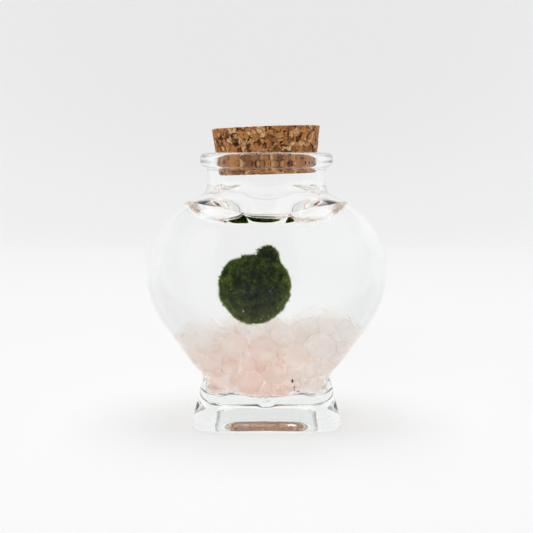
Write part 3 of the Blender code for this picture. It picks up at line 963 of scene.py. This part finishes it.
class MOSSJAR_OT_moss(bpy.types.Operator):
    """Grows the moss ball: a lumpy core, short fuzz and longer strands that stand on it"""

    bl_idname = "mossjar.moss"
    bl_label = "Moss Ball"

    def execute(self, context):
        m, centre = settings("moss"), ball_centre()
        bm = bmesh.new()
        bmesh.ops.create_icosphere(bm, subdivisions=7, radius=1)
        tuft = bm.verts.layers.float.new("tuft")
        for vertex in bm.verts:
            direction = vertex.co.normalized()
            reach, vertex[tuft] = moss_reach(direction)
            vertex.co = centre + direction * reach * m.radius
        core = finish_piece("moss_core", bm, moss_material("moss_core", False), "moss_ball")
        self.grow(core, "moss_fuzz", m.fuzz, m.fuzz_length, m.fuzz_width, 0.55, 0.25, 4)
        self.grow(core, "moss_strands", m.strands, m.strand_length, m.strand_width, 0.75, 0.40, 8)
        return {"FINISHED"}

    def grow(self, core, name, how_many, reach, width, lean, bend, seed):
        """Geometry Nodes sets the filaments, and their mesh is then kept as plain faces."""
        filament = add_object("filament", filament_mesh(width / reach, bend))
        area = sum(face.area for face in core.data.polygons)
        tree = self.filament_nodes(filament, how_many / area, reach, lean, seed)
        grower = add_object("grower", core.data)
        grower.modifiers.new("filaments", "NODES").node_group = tree
        view = bpy.context.evaluated_depsgraph_get()
        mesh = bpy.data.meshes.new_from_object(grower.evaluated_get(view))
        mesh.name = name
        for scratch in (grower, filament):
            bpy.data.objects.remove(scratch)
        bpy.data.node_groups.remove(tree)
        dress(name, mesh, moss_material(name, True), "moss_ball")

    def filament_nodes(self, filament, density, reach, lean, seed):
        """Scatters the filament over a mesh, longer on its tufts, each leaning its own way."""
        tree = bpy.data.node_groups.new("filaments", "GeometryNodeTree")
        for way in ("INPUT", "OUTPUT"):
            tree.interface.new_socket("Geometry", in_out=way, socket_type="NodeSocketGeometry")
        source = put(tree, "NodeGroupInput")
        spacing = {"Mesh": source.outputs[0], "Density": density, "Seed": seed}
        points = put(tree, "GeometryNodeDistributePointsOnFaces", spacing, distribute_method="RANDOM").outputs
        shape = put(tree, "GeometryNodeObjectInfo", {"Object": filament})
        most = Vector((lean, lean, math.pi))
        turn = random_value(tree, "FLOAT_VECTOR", -most, most, seed + 1)
        turns = {"Rotation": points["Rotation"], "Rotate By": turn}
        leaning = put(tree, "FunctionNodeRotateRotation", turns, rotation_space="LOCAL")
        tuft = put(tree, "GeometryNodeInputNamedAttribute", {"Name": "tuft"}, data_type="FLOAT").outputs[0]
        varied = random_value(tree, "FLOAT", SHORTEST * reach, LONGEST * reach, seed + 2)
        longer = worked(tree, "MULTIPLY_ADD", tuft, TUFT_SHARE, BARE_SHARE)
        placing = {
            "Points": points["Points"],
            "Instance": shape.outputs["Geometry"],
            "Rotation": leaning.outputs[0],
            "Scale": worked(tree, "MULTIPLY", longer, varied),
        }
        placed = put(tree, "GeometryNodeInstanceOnPoints", placing).outputs[0]
        tone = random_value(tree, "FLOAT", 0.0, 1.0, seed + 3)
        stored = {"Geometry": placed, "Name": "tone", "Value": tone}
        kind = {"domain": "INSTANCE", "data_type": "FLOAT"}
        toned = put(tree, "GeometryNodeStoreNamedAttribute", stored, **kind).outputs[0]
        real = put(tree, "GeometryNodeRealizeInstances", {"Geometry": toned})
        put(tree, "NodeGroupOutput", {0: real.outputs[0]})
        return tree


# ---- The pebbles ----

NEIGHBOUR_REACH = 0.013  # between the middles of stones that may touch
FACING = 0.15  # least cosine between a way and a neighbour that limits it
HARDNESS = 14  # of the edge between a stone's own surface and a flat
CHIP_LUMPS = 0.10


def pebble_body(node):
    """A solid pebble's middle, and its radius towards each side, up and down."""
    low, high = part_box(node)
    return (low + high) / 2, (high - low) / 2


class MOSSJAR_OT_pebbles(bpy.types.Operator):
    """Tumbles each rose quartz pebble: uneven, smooth, and flatter where it lies on a neighbour"""

    bl_idname = "mossjar.pebbles"
    bl_label = "Pebbles"

    def execute(self, context):
        p = settings("pebbles")
        bodies = [pebble_body(node) for node in PEBBLE_NODES]
        for number_in_bed, (node, body) in enumerate(zip(PEBBLE_NODES, bodies), start=1):
            bm = bmesh.new()
            bmesh.ops.create_icosphere(bm, subdivisions=5, radius=1)
            turn = Vector((number_in_bed * 1.7, 0, 0))
            for vertex in bm.verts:
                direction = vertex.co.normalized()
                vertex.co = body[0] + direction * self.reach(direction, body, bodies, turn, p)
            material = quartz_material(number_in_bed)
            finish_piece(f"pebble_{number_in_bed:02d}", bm, material, node)
        return {"FINISHED"}

    def reach(self, direction, body, bodies, turn, p):
        """How far a stone reaches: to its own uneven surface, or nearly to a neighbour's."""
        centre, half = body
        own = 1 / math.sqrt(sum((direction[i] / half[i]) ** 2 for i in range(3)))
        uneven = noise.noise(direction * 1.15 + turn) + 0.35 * noise.noise(direction * 3.1 + turn)
        limits = [own * (1.03 + p.lump * uneven)]
        for other, other_half in bodies:
            apart = other - centre
            distance = apart.length
            if 0 < distance < NEIGHBOUR_REACH:
                towards = direction.dot(apart) / distance
                if towards > FACING:
                    share = half.length / (half.length + other_half.length)
                    limits.append((distance * share - p.gap / 2) / towards)
        return sum(limit**-HARDNESS for limit in limits) ** (-1 / HARDNESS)


class MOSSJAR_OT_chips(bpy.types.Operator):
    """Fills the bed's gaps with small chips, each as large as its gap lets it be"""

    bl_idname = "mossjar.chips"
    bl_label = "Quartz Chips"

    def execute(self, context):
        p, form = settings("pebbles"), JarForm()
        bodies = [pebble_body(node) for node in PEBBLE_NODES]
        places, room = self.gaps(p, form, bodies)
        bm = bmesh.new()
        for seed in range(p.chips):
            widest = int(np.argmax(room))
            size = room[widest]
            if size < p.smallest_chip:
                break
            add_crumb(bm, Vector(places[widest]), Vector((2, 2, 2)) * size, seed, CHIP_LUMPS)
            room = np.minimum(room, np.linalg.norm(places - places[widest], axis=1) - size)
        finish_piece("quartz_chips", bm, quartz_material(0))
        return {"FINISHED"}

    def gaps(self, p, form, bodies):
        """(places, room): a lattice through the bed, and how large a chip fits at each place."""
        wide, deep, step = JAR_HIGH.x, JAR_HIGH.y, p.lattice
        low, top = form.jar.floor_z, p.pale_top
        places = np.mgrid[-wide:wide:step, -deep:deep:step, low:top:step].reshape(3, -1).T
        x, y, z = places.T
        turn = np.linspace(-math.pi, math.pi, 241)
        rim = reach_of(form.hollow, turn, [form.jar.floor_rim])[0]
        share = np.clip(np.hypot(x, y) / np.interp(np.arctan2(y, x), turn, rim), 0, 1)
        room = np.minimum(-form.hollow(x, y, np.maximum(z, form.jar.floor_rim)), z - form.floor(x, share))
        cover = np.zeros(len(places))
        for centre, half in bodies:
            away = places - np.array(centre)
            radii = np.linalg.norm(away / np.array(half), axis=1)
            room = np.minimum(room, np.linalg.norm(away, axis=1) * (1 - 1 / np.maximum(radii, 0.01)))
            near = np.hypot(away[:, 0], away[:, 1]) < 2 * half.x
            cover = np.where(near, np.maximum(cover, centre.z), cover)
        fits = (z < cover) & (room < p.largest_chip) & (room > p.smallest_chip)
        return places[fits], room[fits] - p.gap


# ---- Flakes and painted gap shade ----

MM = 0.001
# Pale flakes on the moss: the way to each from the ball's middle, and its length in mm.
FLAKES = (
    ((-0.27, -0.80, -0.54), 0.55),
    ((0.18, -0.62, -0.77), 0.34),
    ((0.39, -0.58, -0.72), 0.34),
    ((0.63, -0.61, -0.49), 0.36),
    ((0.42, -0.90, 0.00), 0.30),
    ((-0.60, -0.78, 0.03), 0.24),
)
# Dark bits of painted shade in the gaps between the pebbles at the front glass: (x, z, width, height) in mm.
GAP_SHADE = (
    (6.7, 14.3, 0.55, 1.10),
    (7.1, 12.6, 0.45, 0.60),
    (7.2, 11.6, 0.45, 0.40),
    (8.3, 10.7, 1.10, 0.40),
    (-11.5, 17.0, 0.22, 0.22),
)
FLAKE_FORM = Vector((0.6, 0.5, 1.0))  # its width, depth and height as shares of its length
FLAKE_LIFT = 1.45  # over the core, in fuzz lengths
GAP_SHADE_DEPTH = 0.35  # in mm
GAP_SHADE_BEHIND = 0.0003  # the glass


def plain_material(name, colour_value, roughness):
    """A plain finish with faint blotches."""
    material, tree, shader = new_material(name)
    darker = rgba([value * 0.6 for value in colour_value])
    blotched = mix_colours(tree, mottle(tree, object_place(tree), 3000.0), darker, rgba(colour_value))
    set_shader(tree, shader, {"Base Color": blotched, "Roughness": roughness})
    return material


def add_crumb(bm, place, size, seed, lumps=0.35):
    """A small uneven crumb, as one more closed body in the mesh."""
    made = bmesh.ops.create_icosphere(bm, subdivisions=2, radius=1)
    for vertex in made["verts"]:
        uneven = 1 + lumps * noise.noise(vertex.co * 1.3 + Vector((seed * 1.37, 0, 0)))
        vertex.co = place + vertex.co * uneven * size / 2


class MOSSJAR_OT_crumbs(bpy.types.Operator):
    """Adds the pale flakes on the moss ball and dark bits of painted shade between the pebbles"""

    bl_idname = "mossjar.crumbs"
    bl_label = "Flakes and Gap Shade"

    def execute(self, context):
        form, m = JarForm(), settings("moss")
        centre = ball_centre()
        bm = bmesh.new()
        for seed, (way, size) in enumerate(FLAKES):
            direction = Vector(way).normalized()
            reach = moss_reach(direction)[0] * m.radius + FLAKE_LIFT * m.fuzz_length
            add_crumb(bm, centre + direction * reach, FLAKE_FORM * size * MM, seed)
        finish_piece("pale_flakes", bm, plain_material("pale_flake", (0.85, 0.84, 0.78), 0.5))
        # Painted shade: dark bits in the gaps between the pebbles at the front glass.
        bm = bmesh.new()
        for seed, (x, z, wide, tall) in enumerate(GAP_SHADE):
            x, z = x * MM, z * MM
            depths = np.arange(0.004, 0.02, 0.00002)
            wall = depths[np.argmax(form.hollow(x, -depths, np.full(depths.shape, z)) > 0)]
            place = Vector((x, -(wall - GAP_SHADE_BEHIND), z))
            add_crumb(bm, place, Vector((wide, GAP_SHADE_DEPTH, tall)) * MM, seed + 20)
        finish_piece("dark_grit", bm, plain_material("dark_grit", (0.045, 0.022, 0.014), 0.7))
        return {"FINISHED"}


# ---- The studio ----

# How white the dish is, and how much it glows like a back-lit screen, from front to back: (y, level).
DISH_WHITE = ((-0.60, 0.30), (-0.10, 0.40), (0.6, 0.40))
DISH_GLOW = (
    (-0.60, 0.30),
    (-0.34, 0.30),
    (-0.14, 0.60),
    (0.15, 0.58),
    (0.36, 0.56),
    (0.50, 0.51),
    (0.64, 0.46),
)
DISH_REACH = 0.65  # where the two ramps end, in front and behind
DISH_TURNS, CURVE_STEPS = 96, 12
FLAG_NEAR, FLAG_FAR, FLAG_LIFT = 0.05, 0.30, 0.0008
FLAG_START, FLAG_SWEEP, FLAG_STEPS = -165, 150, 32  # the angles are degrees round the jar
FLAG_SLOPES = (15, 30, 45, 60, 72)  # degrees up from the floor
SKY_FRONT, SKY_BACK = (-0.85, 0.45), (-0.35, 1.6)  # (way along Y, strength)
BOX_POWER, FILL_POWER = 3.8, 0.6


def level_ramp(tree, share, stops):
    """Greys from front to back, from the stops [(y, level)]."""
    ramp = put(tree, "ShaderNodeValToRGB", {"Fac": share})
    ramp.color_ramp.interpolation = "EASE"
    elements = ramp.color_ramp.elements
    while len(elements) < len(stops):
        elements.new(0.5)
    for element, (y, level) in zip(elements, stops):
        element.position, element.color = (y + DISH_REACH) / (2 * DISH_REACH), grey(level)
    return ramp.outputs["Color"]


def dish_material():
    """A matt white dish that glows a little, and is pale grey in front, where glass reflects it."""
    material, tree, shader = new_material("white_dish")
    share = ranged(tree, axis_of(tree, object_place(tree), "Y"), -DISH_REACH, DISH_REACH)
    values = {
        "Base Color": level_ramp(tree, share, DISH_WHITE),
        "Emission Color": level_ramp(tree, share, DISH_GLOW),
        "Emission Strength": 1.0,
        "Roughness": 1.0,
        "Specular IOR Level": 0.0,
    }
    set_shader(tree, shader, values)
    material.cycles.emission_sampling = "NONE"
    return material


def flag_material():
    material, tree, shader = new_material("dark_flag")
    set_shader(tree, shader, {"Base Color": grey(0.02), "Roughness": 1.0, "Specular IOR Level": 0.0})
    return material


def spun_sheet(name, profile, material, start, sweep, steps, whole=False):
    """A stage piece: a profile [(radius, height)] spun round the jar's axis, and closed if whole."""
    bm = bmesh.new()
    points = [bm.verts.new((radius, 0, z)) for radius, z in profile]
    edges = [bm.edges.new(pair) for pair in zip(points, points[1:])]
    middle = (0, 0, 0)
    bmesh.ops.rotate(bm, verts=points, cent=middle, matrix=Matrix.Rotation(start, 3, "Z"))
    turn = {"axis": (0, 0, 1), "cent": middle, "angle": sweep, "steps": steps}
    bmesh.ops.spin(bm, geom=points + edges, use_merge=whole, **turn)
    if whole:
        bmesh.ops.remove_doubles(bm, verts=bm.verts, dist=1e-6)
        bmesh.ops.recalc_face_normals(bm, faces=bm.faces)
    mesh = mesh_from(bm, name)
    mesh.materials.append(material)
    sheet = add_object(name, mesh)
    return sheet


def add_lamp(name, power, size, place, turn=(0, 0, 0)):
    """A lamp with a lit rectangle, which shines down unless it is turned."""
    light = bpy.data.lights.new(name, "AREA")
    light.shape, light.energy = "RECTANGLE", power
    light.size, light.size_y = size
    lamp = add_object(name, light)
    lamp.location, lamp.rotation_euler = place, turn
    return lamp


class MOSSJAR_OT_stage(bpy.types.Operator):
    """Sets the white dish, the soft sky, the lamps and the camera"""

    bl_idname = "mossjar.stage"
    bl_label = "Stage"

    def execute(self, context):
        s = settings("stage")
        self.make_dish(s)
        self.make_flag()
        self.make_light()
        self.make_camera(s)
        view = bpy.context.scene.view_settings
        view.view_transform = "Standard"
        view.look = "None"
        light = bpy.context.scene.cycles
        light.max_bounces = 96
        light.transmission_bounces = 96
        light.glossy_bounces = 32
        light.diffuse_bounces = 48
        light.transparent_max_bounces = 32
        light.caustics_refractive = True
        light.caustics_reflective = True
        light.sample_clamp_indirect = 6
        light.blur_glossy = 0
        return {"FINISHED"}

    def make_dish(self, s):
        profile = [(0.0, 0.0), (0.06, 0.0), (0.2, 0.0), (s.dish_radius, 0.0)]
        for step in range(1, CURVE_STEPS + 1):
            turn = math.pi / 2 * step / CURVE_STEPS
            radius = s.dish_radius + s.dish_curve * math.sin(turn)
            profile.append((radius, s.dish_curve * (1 - math.cos(turn))))
        profile.append((s.dish_radius + s.dish_curve, s.dish_rim))
        dish = spun_sheet("white_dish", profile, dish_material(), 0, 2 * math.pi, DISH_TURNS, True)
        dish.data.shade_smooth()

    def make_flag(self):
        """A dark tent round the camera that only reflections see, so the jar's front stays clear."""
        profile = [(FLAG_NEAR, FLAG_LIFT), (FLAG_FAR, FLAG_LIFT)]
        for slope in np.radians(FLAG_SLOPES):
            profile.append((FLAG_FAR * math.cos(slope), FLAG_LIFT + FLAG_FAR * math.sin(slope)))
        start, sweep = math.radians(FLAG_START), math.radians(FLAG_SWEEP)
        flag = spun_sheet("dark_flag", profile, flag_material(), start, sweep, FLAG_STEPS)
        flag.visible_camera = flag.visible_diffuse = flag.visible_transmission = False
        flag.visible_shadow = flag.visible_volume_scatter = False

    def make_light(self):
        world = bpy.data.worlds.new("soft_sky")
        world.use_nodes = True
        tree = world.node_tree
        depth = axis_of(tree, put(tree, "ShaderNodeTexCoord").outputs["Generated"], "Y")
        (front, dim), (back, bright) = SKY_FRONT, SKY_BACK
        strength = ranged(tree, depth, front, back, dim, bright, interpolation_type="SMOOTHSTEP")
        join(tree, strength, tree.nodes["Background"].inputs["Strength"])
        bpy.context.scene.world = world
        add_lamp("soft_box", BOX_POWER, (0.7, 0.5), (0, 0.1, 0.75))
        turn = (math.radians(64), 0, math.radians(-18))
        fill = add_lamp("front_fill", FILL_POWER, (0.35, 0.35), (-0.18, -0.55, 0.32), turn)
        fill.visible_glossy = fill.visible_transmission = False

    def make_camera(self, s):
        lens = bpy.data.cameras.new("camera")
        lens.lens, lens.sensor_width = s.lens, 36.0
        camera = add_object("camera", lens)
        camera.location = (0, -s.camera_distance, s.camera_height)
        camera.rotation_euler = (math.pi / 2 - s.camera_pitch, 0, 0)
        bpy.context.scene.camera = camera


# ---- The add-on ----


class MOSSJAR_PT_panel(bpy.types.Panel):
    """Lists the pieces and their settings"""

    bl_idname = "MOSSJAR_PT_panel"
    bl_label = "Moss Ball Jar"
    bl_space_type = "VIEW_3D"
    bl_region_type = "UI"
    bl_category = "Moss Jar"

    def draw(self, context):
        for operator in OPERATORS:
            self.layout.operator(operator.bl_idname)
        for name, group in GROUPS.items():
            box = self.layout.box()
            box.label(text=name.title())
            for key in group.__annotations__:
                box.prop(settings(name), key)


OPERATORS = (
    MOSSJAR_OT_glass,
    MOSSJAR_OT_water,
    MOSSJAR_OT_cork,
    MOSSJAR_OT_moss,
    MOSSJAR_OT_pebbles,
    MOSSJAR_OT_chips,
    MOSSJAR_OT_crumbs,
    MOSSJAR_OT_stage,
)
CLASSES = (*GROUPS.values(), *OPERATORS, MOSSJAR_PT_panel)


def register():
    for item in CLASSES:
        bpy.utils.register_class(item)
    for name, group in GROUPS.items():
        setattr(bpy.types.Scene, "moss_jar_" + name, PointerProperty(type=group))


def unregister():
    for name in GROUPS:
        delattr(bpy.types.Scene, "moss_jar_" + name)
    for item in reversed(CLASSES):
        bpy.utils.unregister_class(item)


def main():
    register()
    bpy.ops.mossjar.stage()
    bpy.ops.mossjar.glass()
    bpy.ops.mossjar.water()
    bpy.ops.mossjar.cork()
    bpy.ops.mossjar.moss()
    bpy.ops.mossjar.pebbles()
    bpy.ops.mossjar.chips()
    bpy.ops.mossjar.crumbs()


if __name__ == "__main__":
    main()
